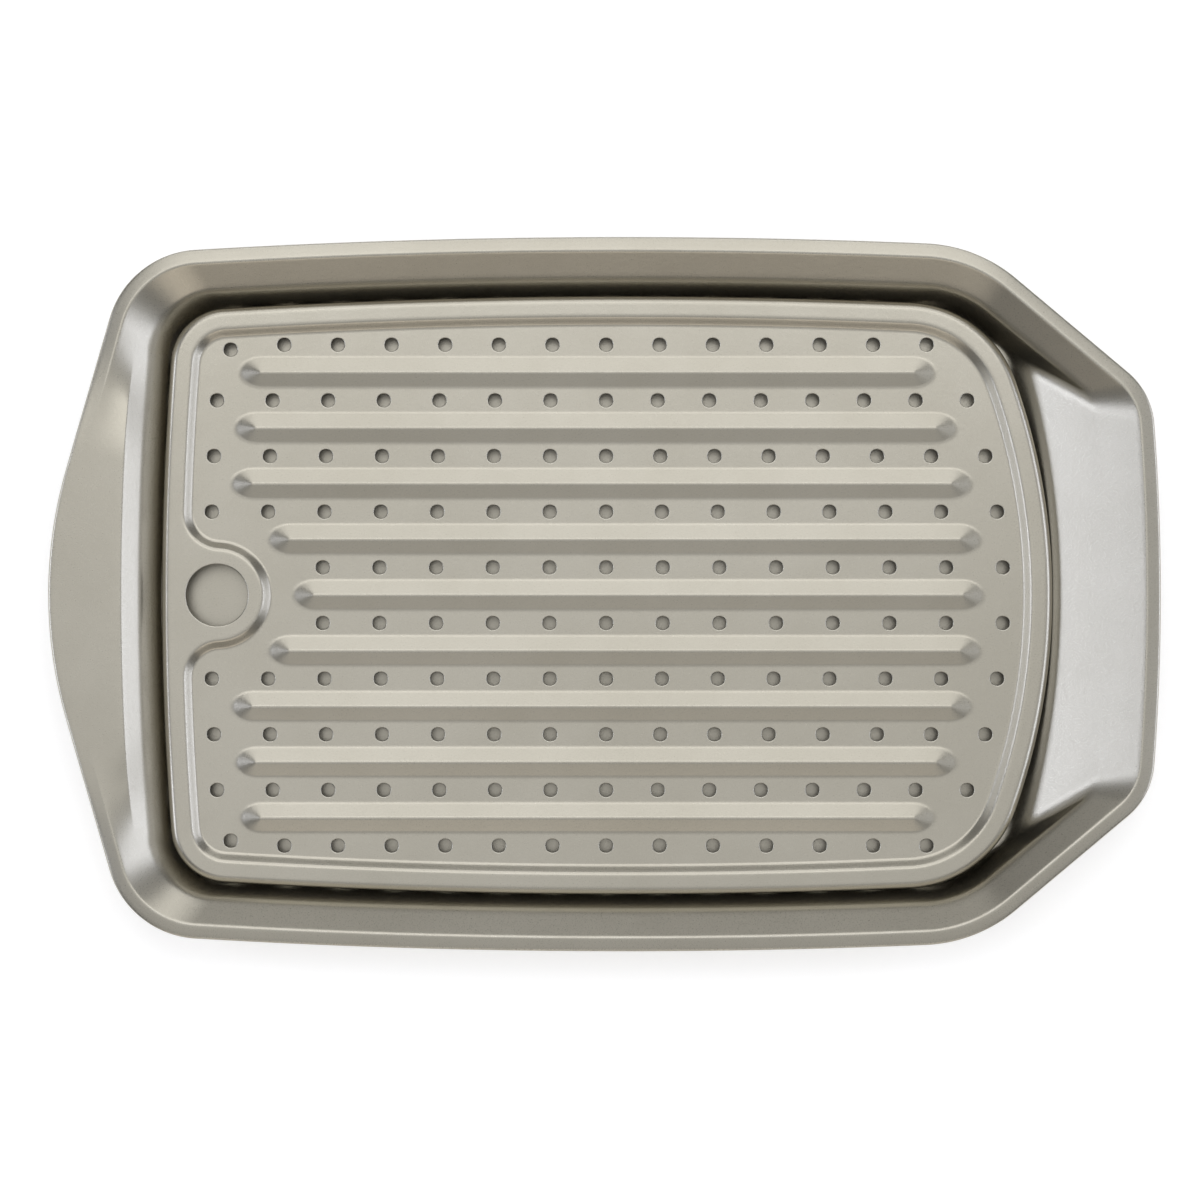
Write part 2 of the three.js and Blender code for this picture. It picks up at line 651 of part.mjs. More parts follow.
const panCoat = new THREE.MeshStandardMaterial({ color: 0xb8b4a8, roughness: 0.38, metalness: 0.9 });
const trayCoat = new THREE.MeshStandardMaterial({ color: 0xbcb8ac, roughness: 0.4, metalness: 0.9 });

const crisperPan = new THREE.Group();
crisperPan.name = "crisper_pan";
crisperPan.add(piece("pan_body", panGeometry(), panCoat));
crisperPan.add(piece("crisper_tray", trayGeometry(), trayCoat));

export default crisperPan;
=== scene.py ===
"""Looks of a two-piece crisper pan: a pressed pan and the perforated tray that lifts out of it.

The code works in millimetres, and the meshes are written in metres. +X points to the ramp end, +Z up.
Every surface is a profile carried along an outline, worked out as whole arrays.
"""

import logging
import math
from collections.abc import Sequence
from dataclasses import dataclass
from enum import Enum

import bpy
import numpy as np
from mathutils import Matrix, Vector
from mathutils.geometry import delaunay_2d_cdt


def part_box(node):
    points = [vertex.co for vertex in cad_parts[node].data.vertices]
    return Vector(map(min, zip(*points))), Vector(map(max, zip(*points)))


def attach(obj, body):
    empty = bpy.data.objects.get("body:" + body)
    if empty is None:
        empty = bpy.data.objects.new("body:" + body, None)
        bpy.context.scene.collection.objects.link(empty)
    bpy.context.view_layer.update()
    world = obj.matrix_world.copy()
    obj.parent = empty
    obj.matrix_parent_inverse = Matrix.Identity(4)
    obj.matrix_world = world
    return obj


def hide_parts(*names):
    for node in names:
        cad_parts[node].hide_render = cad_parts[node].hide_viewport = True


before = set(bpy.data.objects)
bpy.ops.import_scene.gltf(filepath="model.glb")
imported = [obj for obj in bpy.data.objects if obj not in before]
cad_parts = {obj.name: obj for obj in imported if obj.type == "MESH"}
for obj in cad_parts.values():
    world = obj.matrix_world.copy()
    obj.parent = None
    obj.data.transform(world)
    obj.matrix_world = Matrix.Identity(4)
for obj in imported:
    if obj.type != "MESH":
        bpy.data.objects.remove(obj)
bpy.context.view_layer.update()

log = logging.getLogger("crisper_pan")

MM = 0.001
STRAIGHT_RADIUS = 1e5
LEG_SHARE = 0.92
SHORTEST_BEND = 0.35
SHARP_ANGLE = math.radians(55)
EDGE_LAYER = "edge"
EDGE_CURVATURE = 0.9
SHORTEST_STEP = 1e-9
FILL_INSIDE = 1
FILL_CLOSENESS = 1e-6
LAMP_DISTANCE = 1.35

Colour = tuple[float, float, float, float]
Range = tuple[float, float]
Socket = bpy.types.NodeSocket


class Body(str, Enum):
    """The moving bodies that pieces ride on."""

    PAN = "pan"
    TRAY = "tray"


class Slot(str, Enum):
    """The finishes that the record names."""

    PAN = "pan_coat"
    TRAY = "tray_coat"


# Outlines


@dataclass(frozen=True)
class Arc:
    """One side of an outline as part of a circle. A straight side is part of a very large one."""

    x: float
    y: float
    radius: float

    @classmethod
    def straight(cls, x: float, y: float, outward: float) -> "Arc":
        """A straight side through a point that faces the outward angle."""
        away_x = x - STRAIGHT_RADIUS * math.cos(outward)
        return cls(away_x, y - STRAIGHT_RADIUS * math.sin(outward), STRAIGHT_RADIUS)

    def inset(self, distance: float) -> "Arc":
        """The same side moved inwards."""
        return Arc(self.x, self.y, self.radius - distance)

    def heading(self, point: tuple[float, float]) -> float:
        """The angle from the centre to a point."""
        return math.atan2(point[1] - self.y, point[0] - self.x)

    def crossing(self, following: "Arc") -> tuple[float, float]:
        """Finds the corner that this side shares with the one that follows it anticlockwise.

        Args:
            following: The next side.

        Returns:
            Where the circles cross, to the left of the way from this centre to the next.
        """
        gap = math.hypot(following.x - self.x, following.y - self.y)
        along = (gap**2 + self.radius**2 - following.radius**2) / (2 * gap)
        across = math.sqrt(max(self.radius**2 - along**2, 0))
        unit_x = (following.x - self.x) / gap
        unit_y = (following.y - self.y) / gap
        return self.x + unit_x * along - unit_y * across, self.y + unit_y * along + unit_x * across

    def sweep(self, start: float, stop: float, steps: int, facing: int = 1) -> np.ndarray:
        """Steps along the arc: centre + radius * (cos, sin) of evenly spread angles, without the last one.

        Args:
            start: First angle.
            stop: Last angle.
            steps: Number of points.
            facing: 1 where the outline bulges, -1 where the arc is hollow and faces its centre.

        Returns:
            Rows of x, y and the outward direction.
        """
        angle = start + (stop - start) * np.arange(steps) / steps
        out = np.stack([np.cos(angle), np.sin(angle)], axis=1)
        return np.hstack([np.array([self.x, self.y]) + self.radius * out, facing * out])


@dataclass(frozen=True)
class Outline:
    """A closed outline, anticlockwise from the +X axis, with the outward direction at each point."""

    points: np.ndarray
    outward: np.ndarray

    @classmethod
    def mirrored(cls, half: np.ndarray, last_x: float) -> "Outline":
        """The +Y half, a last point on the -X axis, and the half mirrored in that axis."""
        last = np.array([[last_x, 0.0, -1.0, 0.0]])
        whole = np.vstack([half, last, half[:0:-1] * np.array([1.0, -1.0, 1.0, -1.0])])
        return cls(whole[:, :2], whole[:, 2:])

    def moved(self, distance: float) -> np.ndarray:
        """The outline's points moved inwards by a distance."""
        return self.points - distance * self.outward

    def ring(self, level: float | np.ndarray, inset: float = 0.0) -> np.ndarray:
        """The outline at a height, moved inwards."""
        return at_level(self.moved(inset), level)


def at_level(plan: np.ndarray, level: float | np.ndarray) -> np.ndarray:
    """Plan points lifted to a height."""
    return np.column_stack([plan, np.broadcast_to(level, len(plan))])


def half_outline(
    sides: Sequence[Arc],
    fillets: Sequence[float | None],
    side_steps: Sequence[int],
    fillet_steps: Sequence[int],
) -> np.ndarray:
    """Joins sides by fillets, from the +X axis round to the -X axis.

    A fillet's centre is the crossing of its two sides, both moved in by the fillet's radius.

    Args:
        sides: Sides in anticlockwise order.
        fillets: Radius between each side and the next, or None where they already touch.
        side_steps: Points on each side.
        fillet_steps: Points on each fillet.

    Returns:
        Rows of x, y and the outward direction.
    """
    runs = []
    start = 0.0
    for index, radius in enumerate(fillets):
        side, following = sides[index], sides[index + 1]
        if radius is None:
            touch = side.heading((following.x, following.y))
            runs.append(side.sweep(start, touch, side_steps[index]))
            start = touch
            continue
        centre = side.inset(radius).crossing(following.inset(radius))
        leave, arrive = side.heading(centre), following.heading(centre)
        runs.append(side.sweep(start, leave, side_steps[index]))
        runs.append(Arc(*centre, radius).sweep(leave, arrive, fillet_steps[index]))
        start = arrive
    runs.append(sides[-1].sweep(start, math.pi, side_steps[-1]))
    return np.vstack(runs)


def smooth_step(value: np.ndarray, low: float, high: float) -> np.ndarray:
    """Rises from 0 at low to 1 at high as 3 t^2 - 2 t^3."""
    share = np.clip((value - low) / (high - low), 0, 1)
    return share * share * (3 - 2 * share)


# Surfaces


def carry_profile(
    corners: np.ndarray, radii: Sequence[float], arc_steps: int, leg_steps: Sequence[int]
) -> np.ndarray:
    """Carries a profile along a path and rounds its inner corners.

    A corner b becomes the arc of its radius that touches both legs at p and q. It is the curve
    ((1-s)^2 p + 2 s (1-s) w b + s^2 q) / ((1-s)^2 + 2 s (1-s) w + s^2), with w the cosine of half the turn.
    Two bends that want more than their leg has share it in proportion.

    Args:
        corners: Corner points from the outside in, as (corners, columns, 3).
        radii: Bend radius of each inner corner.
        arc_steps: Steps on each bend.
        leg_steps: Rings added inside each straight leg.

    Returns:
        Rings from the outside in, as (rings, columns, 3).
    """
    legs = np.diff(corners, axis=0)
    lengths = np.linalg.norm(legs, axis=2, keepdims=True)
    along = legs / lengths
    turn = np.arccos(np.clip(np.sum(along[:-1] * along[1:], axis=2, keepdims=True), -1, 1))
    reach = np.maximum(np.reshape(radii, (-1, 1, 1)) * np.tan(turn / 2), SHORTEST_BEND)
    wanted = np.pad(reach, ((1, 1), (0, 0), (0, 0)))
    room = LEG_SHARE * lengths / (wanted[:-1] + wanted[1:])
    reach = reach * np.minimum(1, np.minimum(room[:-1], room[1:]))
    share = np.linspace(0, 1, arc_steps + 1)[:, None, None]
    rings = [corners[:1]]
    leave = corners[0]
    for k, corner in enumerate(corners[1:-1]):
        touch = corner - along[k] * reach[k]
        depart = corner + along[k + 1] * reach[k]
        middle = 2 * share * (1 - share) * np.cos(turn[k] / 2)
        bend = (1 - share) ** 2 * touch + middle * corner + share**2 * depart
        rings.append(between(leave, touch, leg_steps[k]))
        rings.append(bend / ((1 - share) ** 2 + middle + share**2))
        leave = depart
    rings.append(between(leave, corners[-1], leg_steps[-1]))
    rings.append(corners[-1:])
    return np.concatenate(rings)


def between(first: np.ndarray, last: np.ndarray, count: int) -> np.ndarray:
    """A number of rings spread evenly inside a straight leg."""
    share = (np.arange(1, count + 1) / (count + 1))[:, None, None]
    return first + share * (last - first)


def flat_profile(
    corners: Sequence[tuple[float, float]], radii: Sequence[float], arc_steps: int
) -> np.ndarray:
    """Rounds a profile of (distance, height) corners, as carry_profile does for one column."""
    column = np.array([[(distance, 0.0, height)] for distance, height in corners])
    legs = [0] * (len(corners) - 1)
    return carry_profile(column, radii, arc_steps, legs)[:, 0, ::2]


def upward_normals(grid: np.ndarray) -> np.ndarray:
    """The cross product of the way round the rings and the way in, as unit vectors."""
    onward = np.roll(grid, -1, axis=-2) - np.roll(grid, 1, axis=-2)
    inward = np.gradient(grid, axis=-3)
    normal = np.cross(onward, inward)
    return normal / np.linalg.norm(normal, axis=-1, keepdims=True)


def flat_triangles(plan: np.ndarray, loops: Sequence[np.ndarray]) -> np.ndarray:
    """Fills the first loop, less the other loops, with triangles.

    Args:
        plan: Plan points that the loops number.
        loops: Point numbers of the outer loop and of the holes, all anticlockwise.

    Returns:
        Triangles of point numbers, facing up.
    """
    used = np.concatenate(loops)
    ends = np.cumsum([len(loop) for loop in loops])
    faces = [list(range(end - len(loop), end)) for end, loop in zip(ends, loops)]
    points = [Vector(point) for point in plan[used]]
    _, _, triangles, sources, _, owners = delaunay_2d_cdt(
        points, [], faces, FILL_INSIDE, FILL_CLOSENESS
    )
    number = used[np.array([source[0] for source in sources])]
    kept = [triangle for triangle, owner in zip(triangles, owners) if list(owner) == [0]]
    return number[np.array(kept)]


def new_object(name: str, data: bpy.types.ID) -> bpy.types.Object:
    """Puts a new object in the scene, at the origin."""
    made = bpy.data.objects.new(name, data)
    bpy.context.scene.collection.objects.link(made)
    return made


class MeshDraft:
    """Points and faces of one piece. Patches share the numbers of the points where they meet."""

    def __init__(self) -> None:
        """Starts with nothing."""
        self.points: list[np.ndarray] = []
        self.edges: list[np.ndarray] = []
        self.faces: list[np.ndarray] = []
        self.count = 0

    def add(self, points: np.ndarray, edge: np.ndarray | float = 0.0) -> np.ndarray:
        """Adds points and numbers them.

        Args:
            points: Points in millimetres, as (..., 3).
            edge: How far each point stands out as an edge, 0 to 1.

        Returns:
            The points' numbers, in the same arrangement.
        """
        shape = points.shape[:-1]
        numbers = np.arange(self.count, self.count + math.prod(shape)).reshape(shape)
        self.points.append(points.reshape(-1, 3))
        self.edges.append(np.broadcast_to(edge, shape).reshape(-1))
        self.count += numbers.size
        return numbers

    def bands(self, numbers: np.ndarray, down: bool = False) -> None:
        """Joins each ring to the next one in with quads that face up, or down."""
        outer, inner = numbers[..., :-1, :], numbers[..., 1:, :]
        quads = np.stack([outer, np.roll(outer, -1, -1), np.roll(inner, -1, -1), inner], axis=-1)
        quads = quads.reshape(-1, 4)
        self.faces.append(quads[:, ::-1] if down else quads)

    def face(self, loops: np.ndarray, down: bool = False) -> None:
        """Adds one flat face for each row of point numbers."""
        self.faces.append(loops[:, ::-1] if down else loops)

    def plan(self) -> np.ndarray:
        """The plan points of everything added so far."""
        return np.concatenate(self.points)[:, :2]

    def write(self, name: str) -> bpy.types.Object:
        """Writes the mesh in metres, with its edge layer.

        Args:
            name: The piece's name.

        Returns:
            The new object, at the origin.
        """
        mesh = bpy.data.meshes.new(name)
        points = np.concatenate(self.points) * MM
        corners = np.concatenate([faces.ravel() for faces in self.faces])
        sides = np.concatenate([np.full(len(faces), faces.shape[1]) for faces in self.faces])
        mesh.vertices.add(len(points))
        mesh.vertices.foreach_set("co", points.astype(np.float32).ravel())
        mesh.loops.add(len(corners))
        mesh.loops.foreach_set("vertex_index", corners.astype(np.int32))
        mesh.polygons.add(len(sides))
        mesh.polygons.foreach_set("loop_start", (np.cumsum(sides) - sides).astype(np.int32))
        layer = mesh.attributes.new(EDGE_LAYER, "FLOAT", "POINT")
        layer.data.foreach_set("value", np.concatenate(self.edges).astype(np.float32))
        mesh.update(calc_edges=True)
        mesh.validate()
        mesh.shade_smooth()
        mesh.set_sharp_from_angle(angle=SHARP_ANGLE)
        return new_object(name, mesh)


def bend_share(grid: np.ndarray) -> np.ndarray:
    """How strongly the sheet bulges at each point.

    The bulge of a strip between two rings is the turn of its normal along the way in, over its length.
    A point has the mean of its two strips as a share of the sharpest edge, and the outer rings have none.

    Args:
        grid: Rings from the outside in, as (..., rings, columns, 3).

    Returns:
        Values from 0 to 1, as (..., rings, columns).
    """
    step = np.diff(grid, axis=-3)
    turn = np.sum(np.diff(upward_normals(grid), axis=-3) * step, axis=-1)
    bulge = turn / np.maximum(np.sum(step * step, axis=-1), SHORTEST_STEP)
    share = np.zeros(grid.shape[:-1])
    both = bulge[..., 1:, :] + bulge[..., :-1, :]
    share[..., 1:-1, :] = np.clip(both / (2 * EDGE_CURVATURE), 0, 1)
    return share


# Pan


@dataclass
class PressedPan:
    """The pan: a lip with a turned-down hem, flared walls, a handle flange and a ramp end. Sizes in mm."""

    length: float
    width: float
    height: float
    sheet: float = 0.9
    side_bow_radius: float = 2900
    side_bow_shift: float = 8
    end_bow_radius: float = 900
    pour_width: float = 162
    cut_angle: float = math.radians(50)
    end_corner_radius: float = 30
    shoulder_radius: float = 60
    handle_corner_radius: float = 38
    handle_nose_radius: float = 180
    handle_slant: float = math.radians(16)
    lip_width: float = 5.7
    lip_droop: float = 1
    hem_height: float = 2.4
    flare_height: float = 9
    flare_run: float = 10.7
    draft_run: float = 6.5
    cut_flare_run: float = 10.2
    cut_draft_run: float = 5.5
    handle_reach: float = 36.6
    handle_wall_run: float = 7.5
    handle_draft_run: float = 10.3
    handle_flat_width: float = 116
    handle_blend: float = 48
    well_end_radius: float = 1200
    well_corner_radius: float = 26
    handle_crease_rise: float = 3.3
    ramp_run: float = 46.5
    ramp_foot_radius: float = 800
    ramp_corner_radius: float = 15
    floor_margin: float = 5
    hem_bend: float = 1.1
    rim_bend: float = 1.6
    knee_bend: float = 1.9
    crease_bend: float = 8
    floor_bend: float = 3.2
    bend_steps: int = 6
    leg_rings: tuple[int, ...] = (0, 2, 5, 3, 5, 1)
    side_steps: tuple[int, ...] = (40, 26, 80, 40, 34)
    fillet_steps: tuple[int, ...] = (22, 18, 34)

    @property
    def crease_inset(self) -> float:
        """How far the crease lies inside the rim."""
        return self.lip_width + self.flare_run

    @property
    def crease_level(self) -> float:
        """Height of the crease between the flare and the leaning wall."""
        return self.height - self.flare_height

    @property
    def well_handle_x(self) -> float:
        """Where the crease crosses the axis at the handle end."""
        return self.handle_reach - self.length / 2

    def rim_sides(self) -> list[Arc]:
        """The rim's sides: ramp end, cut corner, long side, handle slant and handle nose."""
        end = Arc(self.length / 2 - self.end_bow_radius, 0, self.end_bow_radius)
        side = Arc(self.side_bow_shift, self.width / 2 - self.side_bow_radius, self.side_bow_radius)
        pour_half = self.pour_width / 2
        pour_x = end.x + math.sqrt(self.end_bow_radius**2 - pour_half**2)
        cut = Arc.straight(pour_x, pour_half, self.cut_angle)
        nose = Arc(self.handle_nose_radius - self.length / 2, 0, self.handle_nose_radius)
        outward = math.pi - self.handle_slant
        slant_x = nose.x + nose.radius * math.cos(outward)
        slant = Arc.straight(slant_x, nose.radius * math.sin(outward), outward)
        return [end, cut, side, slant, nose]

    def rim_outline(self) -> Outline:
        """The rim seen from above."""
        fillets = [self.end_corner_radius, self.shoulder_radius, self.handle_corner_radius, None]
        half = half_outline(self.rim_sides(), fillets, self.side_steps, self.fillet_steps)
        return Outline.mirrored(half, -self.length / 2)

    def well_outline(self, level: float, extra: float = 0.0) -> Outline:
        """Finds the well's outline at a height: walls lean by their drafts, and one end climbs the ramp.

        Args:
            level: Height.
            extra: How much further in the whole outline is pulled.

        Returns:
            The outline, point for point beside the rim's.
        """
        depth = (self.crease_level - level) / (self.crease_level - self.sheet)
        climb = (level - self.sheet) / (self.height - self.sheet)
        side_draft = self.draft_run * depth + extra
        handle_draft = self.handle_draft_run * depth + extra
        mouth_radius = self.end_bow_radius - self.lip_width
        end_radius = 1 / ((1 - climb) / self.ramp_foot_radius + climb / mouth_radius)
        end_x = self.length / 2 - self.lip_width - self.ramp_run * (1 - climb) - extra
        _, cut, side, _, _ = self.rim_sides()
        sides = [
            Arc(end_x - end_radius, 0, end_radius),
            cut.inset(self.lip_width + self.cut_flare_run + self.cut_draft_run * depth + extra),
            side.inset(self.crease_inset + side_draft),
            Arc(self.well_handle_x + self.well_end_radius, 0, self.well_end_radius - handle_draft),
        ]
        shoulder = self.shoulder_radius - self.crease_inset - side_draft
        fillets = [self.ramp_corner_radius, shoulder, self.well_corner_radius - side_draft]
        steps = (*self.side_steps[:3], sum(self.side_steps[3:]))
        half = half_outline(sides, fillets, steps, self.fillet_steps)
        return Outline.mirrored(half, self.well_handle_x + handle_draft)

    def corner_rings(self) -> np.ndarray:
        """Works out the corners: hem foot, hem, mouth, knee, crease, wall foot and floor edge.

        The flange is level where share is 1, on the handle, and falls straight to the crease where it is 0.

        Returns:
            Corner points, as (corners, columns, 3).
        """
        rim = self.rim_outline()
        flat_half = self.handle_flat_width / 2
        reach = smooth_step(np.abs(rim.points[:, 1]), flat_half, flat_half + self.handle_blend)
        share = np.where(rim.points[:, 0] > 0, 0, 1 - reach)
        lip_level = self.height - self.lip_droop * (1 - share)
        mouth = rim.ring(self.height, self.lip_width)
        crease_level = self.crease_level + self.handle_crease_rise * share
        crease = self.well_outline(self.crease_level).ring(crease_level)
        across = mouth - crease
        part = np.minimum(self.handle_wall_run / np.linalg.norm(across[:, :2], axis=1), 1)
        knee = crease + part[:, None] * across
        knee[:, 2] += share * (1 - part) * across[:, 2]
        return np.stack(
            [
                rim.ring(lip_level - self.hem_height),
                rim.ring(lip_level),
                mouth,
                knee,
                crease,
                self.well_outline(self.sheet).ring(self.sheet),
                self.well_outline(self.sheet, self.floor_margin).ring(self.sheet),
            ]
        )

    def build(self) -> bpy.types.Object:
        """Builds the shell: the profile carried round the rim, and the same rings moved in by the sheet.

        Returns:
            The pan's object.
        """
        bends = (self.hem_bend, self.rim_bend, self.knee_bend, self.crease_bend, self.floor_bend)
        upper = carry_profile(self.corner_rings(), bends, self.bend_steps, self.leg_rings)
        normal = upward_normals(upper)
        normal[-1] = (0, 0, 1)
        draft = MeshDraft()
        top = draft.add(upper, bend_share(upper))
        under = draft.add(upper - self.sheet * normal)
        draft.bands(top)
        draft.bands(under, down=True)
        draft.bands(np.stack([top[0], under[0]]), down=True)
        draft.face(top[-1:])
        draft.face(under[-1:], down=True)
        return draft.write("pan_shell")

    def dress(self, piece: bpy.types.Object, coat: bpy.types.Material) -> None:
        """Gives the pan its coat and its place in the assembly."""
        piece.data.materials.append(coat)
        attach(piece, Body.PAN.value)
        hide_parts("pan_body")


# Tray


@dataclass
class PerforatedTray:
    """The tray: a rolled edge, a stepped rim with a finger tab, ribs and drain holes. Sizes in mm."""

    handle_x: float
    ramp_x: float
    half_width: float
    foot: float
    rim: float
    sheet: float = 0.8
    side_radius: float = 2635
    side_shift: float = 8
    handle_end_radius: float = 1216
    ramp_end_radius: float = 259
    handle_corner_radius: float = 23
    ramp_corner_radius: float = 47
    edge_radius: float = 3.2
    end_foot_rise: float = 3.4
    side_from: float = 0.5
    side_full: float = 0.95
    rim_width: float = 8.5
    step_run: float = 3.3
    step_drop: float = 2.8
    step_bend: float = 2.6
    flat_guard: float = 1.6
    foot_guard: float = 0.82
    finger_diameter: float = 25
    finger_inset: float = 22.5
    finger_lip: float = 0.5
    tab_land: float = 5.9
    tab_fillet: float = 15
    rib_count: int = 9
    rib_pitch: float = 22.5
    rib_width: float = 12
    rib_apex: float = 2.5
    rib_crest_bend: float = 2
    rib_foot_bend: float = 4.5
    rib_guard: float = 1.35
    rib_ridge_share: float = 0.02
    rib_end_stretch: float = 1.5
    rib_ramp_inset: float = 27.7
    rib_ramp_radius: float = 215
    rib_handle_inset: float = 27
    rib_handle_radius: float = 900
    rib_tab_distance: float = 30.5
    drain_diameter: float = 5.5
    drain_lip: float = 0.4
    drain_centre_x: float = 0.6
    drain_ramp_inset: float = 19.7
    drain_ramp_radius: float = 218
    drain_handle_inset: float = 19.7
    drain_handle_radius: float = 1200
    drain_ramp_corner: float = 6.2
    drain_handle_corner: float = 3.8
    drain_corner_drop: float = 2
    drain_pitch: float = 22.2
    drain_tab_distance: float = 44
    hole_guard_share: float = 1.3
    hole_foot_share: float = 0.25
    bend_steps: int = 5
    edge_leg_rings: tuple[int, ...] = (2, 1)
    step_leg_rings: tuple[int, ...] = (0, 1, 0)
    outline_steps: tuple[int, ...] = (56, 84, 44)
    corner_steps: tuple[int, ...] = (26, 22)
    tab_steps: tuple[int, ...] = (16, 18)
    rib_side_steps: int = 20
    rib_end_steps: int = 12
    drain_columns: int = 24
    finger_columns: int = 96

    @property
    def field(self) -> float:
        """Height of the field that holds the ribs and holes."""
        return self.rim - self.step_drop

    @property
    def finger_x(self) -> float:
        """Centre of the finger hole."""
        return self.handle_x + self.finger_inset

    def sides(self, inset: float = 0.0) -> list[Arc]:
        """The tray's sides, moved inwards: ramp end, long side and handle end."""
        ramp = Arc(self.ramp_x - self.ramp_end_radius, 0, self.ramp_end_radius - inset)
        side = Arc(self.side_shift, self.half_width - self.side_radius, self.side_radius - inset)
        handle = Arc(self.handle_x + self.handle_end_radius, 0, self.handle_end_radius - inset)
        return [ramp, side, handle]

    def edge_outline(self) -> Outline:
        """The tray's edge seen from above."""
        fillets = [self.ramp_corner_radius, self.handle_corner_radius]
        half = half_outline(self.sides(), fillets, self.outline_steps, self.corner_steps)
        return Outline.mirrored(half, self.handle_x)

    def step_outline(self) -> Outline:
        """Finds the top of the step: the edge moved in by the rim, with the handle end bent round the tab.

        Returns:
            The outline of the step's top edge.
        """
        sides = self.sides(self.rim_width)
        handle = sides[2]
        corner_radius = self.handle_corner_radius - self.rim_width
        fillets = [self.ramp_corner_radius - self.rim_width, corner_radius]
        half = half_outline(sides, fillets, (*self.outline_steps[:2], 0), self.corner_steps)
        tab_radius = self.finger_diameter / 2 + self.tab_land
        corner = sides[1].inset(corner_radius).crossing(handle.inset(corner_radius))
        grown = Arc(self.finger_x, 0, tab_radius + self.tab_fillet)
        fillet = Arc(*grown.crossing(handle.inset(self.tab_fillet)), self.tab_fillet)
        arrive = handle.heading((fillet.x, fillet.y))
        turn = fillet.heading((self.finger_x, 0)) + 2 * math.pi
        tab = Arc(self.finger_x, 0, tab_radius)
        runs = [
            half,
            handle.sweep(handle.heading(corner), arrive, self.outline_steps[2]),
            fillet.sweep(arrive, turn, self.tab_steps[0]),
            tab.sweep(turn - math.pi, 0, self.tab_steps[1], facing=-1),
        ]
        return Outline.mirrored(np.vstack(runs), self.finger_x + tab_radius)

    def edge_rings(self) -> np.ndarray:
        """The skirt, which ends higher at both ends, and the rolled edge: a quarter round and a flat."""
        edge = self.edge_outline()
        on_side = smooth_step(np.abs(edge.outward[:, 1]), self.side_from, self.side_full)
        corners = [
            edge.ring(self.foot + self.end_foot_rise * (1 - on_side)),
            edge.ring(self.rim),
            edge.ring(self.rim, self.edge_radius + self.flat_guard),
        ]
        bends = (self.edge_radius,)
        return carry_profile(np.stack(corners), bends, 2 * self.bend_steps, self.edge_leg_rings)

    def step_rings(self) -> np.ndarray:
        """The step: a level leg, a slope and a level leg, with both bends rounded."""
        step = self.step_outline()
        corners = [
            step.ring(self.rim, -self.flat_guard),
            step.ring(self.rim),
            step.ring(self.field, self.step_run),
            step.ring(self.field, self.step_run + self.foot_guard),
        ]
        bends = (self.step_bend, self.step_bend)
        return carry_profile(np.stack(corners), bends, self.bend_steps, self.step_leg_rings)

    def ramp_line(self, inset: float, radius: float, y: np.ndarray) -> np.ndarray:
        """An arc inside the ramp end, as x for each y: the centre's x + sqrt(radius^2 - y^2)."""
        return self.ramp_x - inset - radius + np.sqrt(radius**2 - y**2)

    def handle_line(self, inset: float, radius: float, y: np.ndarray) -> np.ndarray:
        """An arc inside the handle end, as x for each y: the centre's x - sqrt(radius^2 - y^2)."""
        return self.handle_x + inset + radius - np.sqrt(radius**2 - y**2)

    def tab_line(self, radius: float, y: np.ndarray) -> np.ndarray:
        """A circle round the finger hole, as x for each y: the hole's x + sqrt(radius^2 - y^2)."""
        return self.finger_x + np.sqrt(np.maximum(radius**2 - y**2, 0))

    def rows(self, count: int) -> np.ndarray:
        """Places across the tray, one rib pitch apart, for a number of rows."""
        return (np.arange(count) - (count - 1) / 2) * self.rib_pitch

    def rib_rings(self) -> np.ndarray:
        """Works out the ribs: rings round a ridge line, lifted by their distance from it.

        A ring point is the ridge point at a share of its length plus distance * (stretch * cos, sin) of its
        direction. The height falls from a rounded crest along a straight slope to a rounded foot.

        Returns:
            Rings from the foot in, as (ribs, rings, columns, 3).
        """
        y = self.rows(self.rib_count)
        half = self.rib_width / 2
        end_run = self.rib_end_stretch * half
        to_x = self.ramp_line(self.rib_ramp_inset, self.rib_ramp_radius, y) - end_run
        plain_x = self.handle_line(self.rib_handle_inset, self.rib_handle_radius, y)
        tab_x = self.tab_line(self.rib_tab_distance, y)
        from_x = np.where(np.abs(y) < self.rib_tab_distance, np.maximum(plain_x, tab_x), plain_x) + end_run

        guard = half + self.rib_guard
        corners = [(guard, 0), (half, 0), (0, self.rib_apex), (-half, 0)]
        profile = flat_profile(corners, (self.rib_foot_bend, self.rib_crest_bend), 2 * self.bend_steps)
        profile = profile[profile[:, 0] > self.rib_ridge_share * half]

        turn = np.linspace(-math.pi / 2, math.pi / 2, self.rib_end_steps + 1)
        straight = np.arange(1, self.rib_side_steps) / self.rib_side_steps
        angle = np.concatenate([turn, np.full(len(straight), math.pi / 2)])
        angle = np.concatenate([angle, angle + math.pi])
        share = np.concatenate([np.ones(len(turn)), 1 - straight, np.zeros(len(turn)), straight])

        ridge_x = from_x[:, None, None] + (to_x - from_x)[:, None, None] * share
        distance = profile[None, :, 0, None]
        x = ridge_x + self.rib_end_stretch * distance * np.cos(angle)
        across = y[:, None, None] + distance * np.sin(angle)
        height = np.broadcast_to(self.field + profile[None, :, 1, None], x.shape)
        return np.stack([x, np.broadcast_to(across, x.shape), height], axis=-1)

